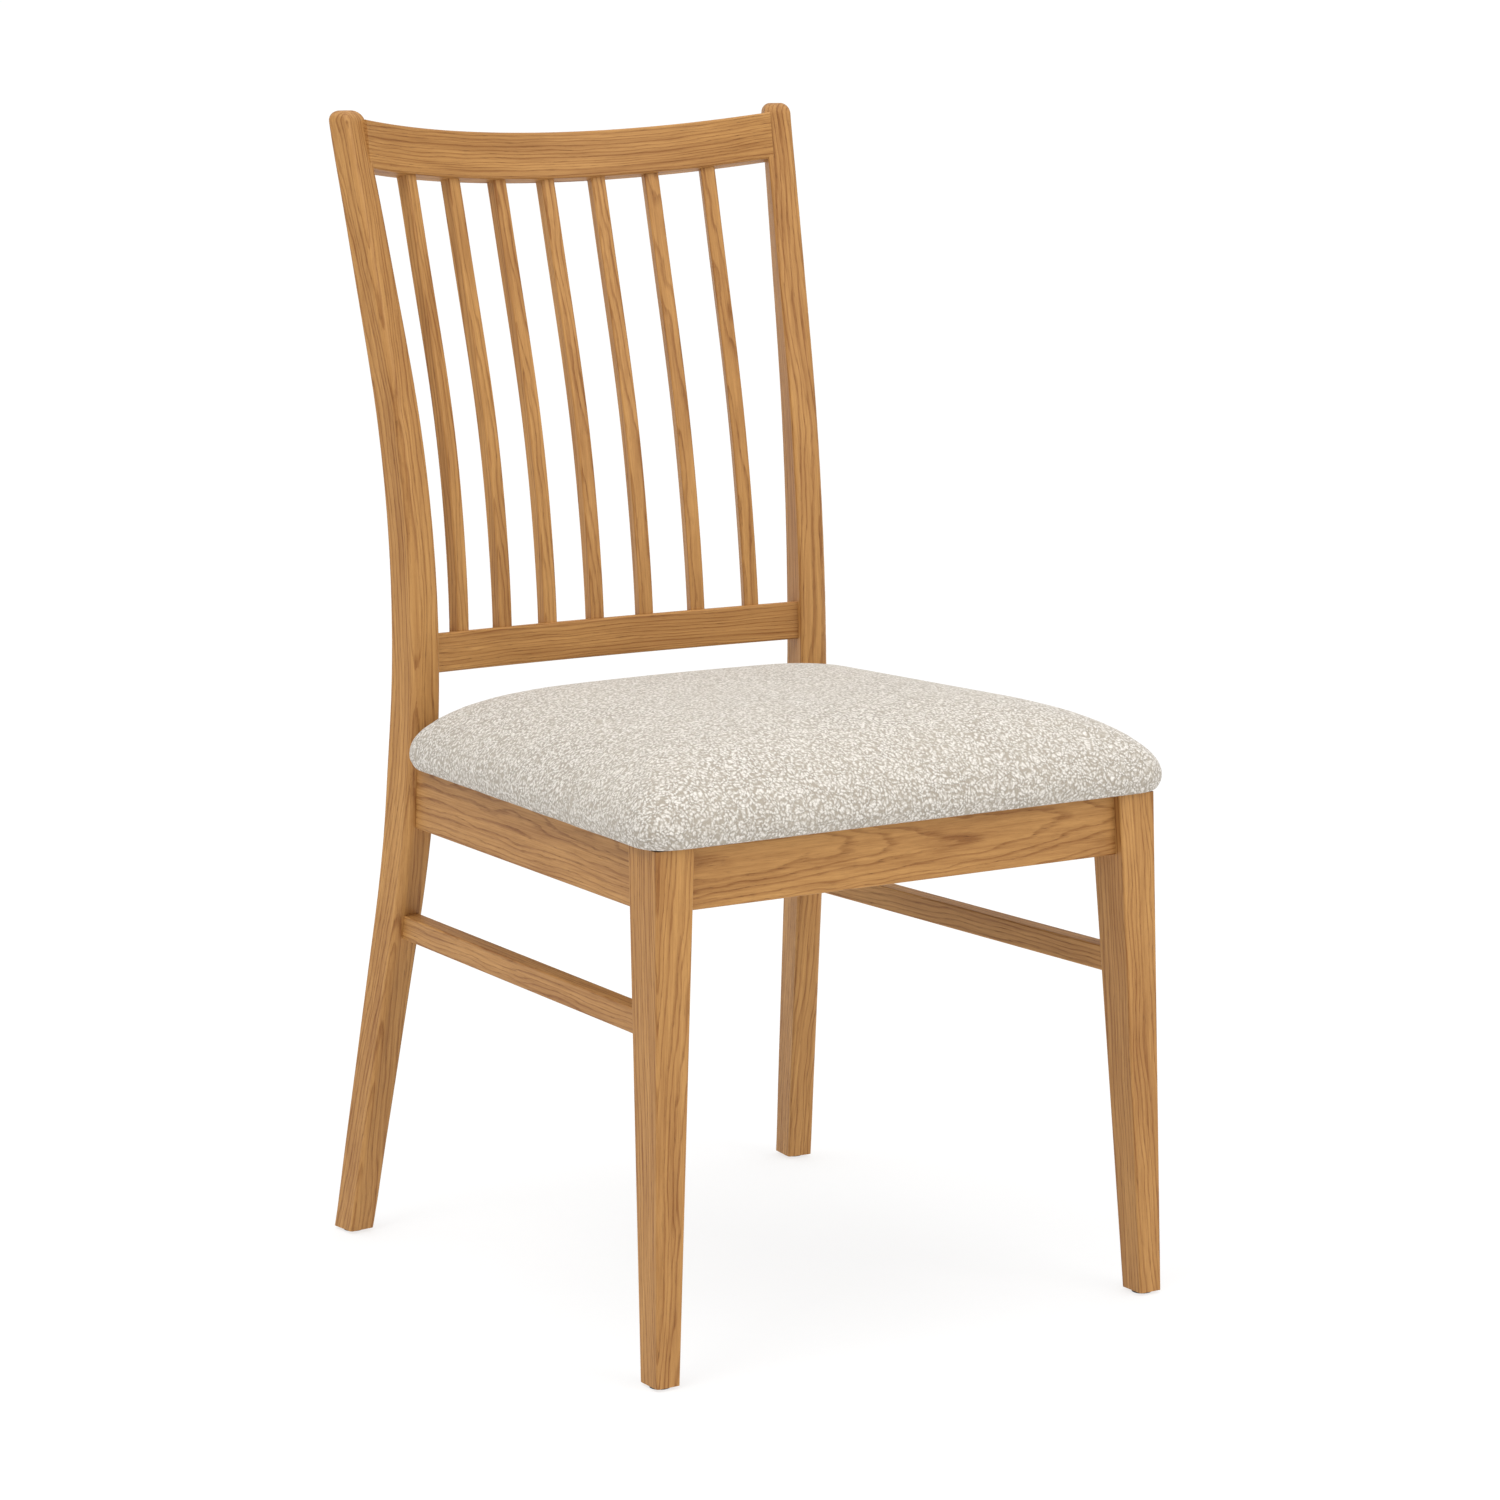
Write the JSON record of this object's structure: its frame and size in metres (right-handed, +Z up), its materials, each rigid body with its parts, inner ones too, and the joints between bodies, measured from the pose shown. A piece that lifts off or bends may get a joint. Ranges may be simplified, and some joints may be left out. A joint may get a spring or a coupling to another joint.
{
  "type": "dining chair",
  "caption": "Slat-back dining chair with tapered front legs, bent rear posts, curved back rails, side stretchers and a crowned upholstered seat.",
  "frame": {"origin": "on the floor, at the middle of the chair's bounding box", "axes": "+Z up, the front edge of the seat faces -Y, +X towards the pieces named right"},
  "size_m": [0.483, 0.591, 0.96],
  "materials": {
    "oak": "clear oiled oak, satin",
    "beech": "unfinished beech",
    "plywood": "unfinished birch plywood",
    "fabric": "cream pebbled weave, matt",
    "foam": "open-cell seat foam",
    "dust_cloth": "black non-woven cloth, matt",
    "steel": "zinc-plated steel",
    "glide_plastic": "dark brown plastic, matt"
  },
  "bodies": {
    "root": {"front_leg_left": "oak", "front_leg_right": "oak", "rear_post_left": "oak", "rear_post_right": "oak", "crest_rail": "oak", "lower_back_rail": "oak", "slat_1": "oak", "slat_2": "oak", "slat_3": "oak", "slat_4": "oak", "slat_5": "oak", "slat_6": "oak", "slat_7": "oak", "front_rail": "oak", "rear_rail": "oak", "side_rail_left": "oak", "side_rail_right": "oak", "stretcher_left": "oak", "stretcher_right": "oak", "corner_block_front_left": "beech", "corner_block_front_right": "beech", "corner_block_rear_left": "beech", "corner_block_rear_right": "beech", "seat_rail_dowels": "beech", "back_dowels": "beech", "block_screws": "steel", "seat_screws": "steel", "glide_nails": "steel", "glide_front_left": "glide_plastic", "glide_front_right": "glide_plastic", "glide_rear_left": "glide_plastic", "glide_rear_right": "glide_plastic", "seat_board": "plywood", "seat_foam": "foam", "seat_cover": "fabric", "dust_cover": "dust_cloth", "cover_staples": "steel"}
  },
  "joints": []
}
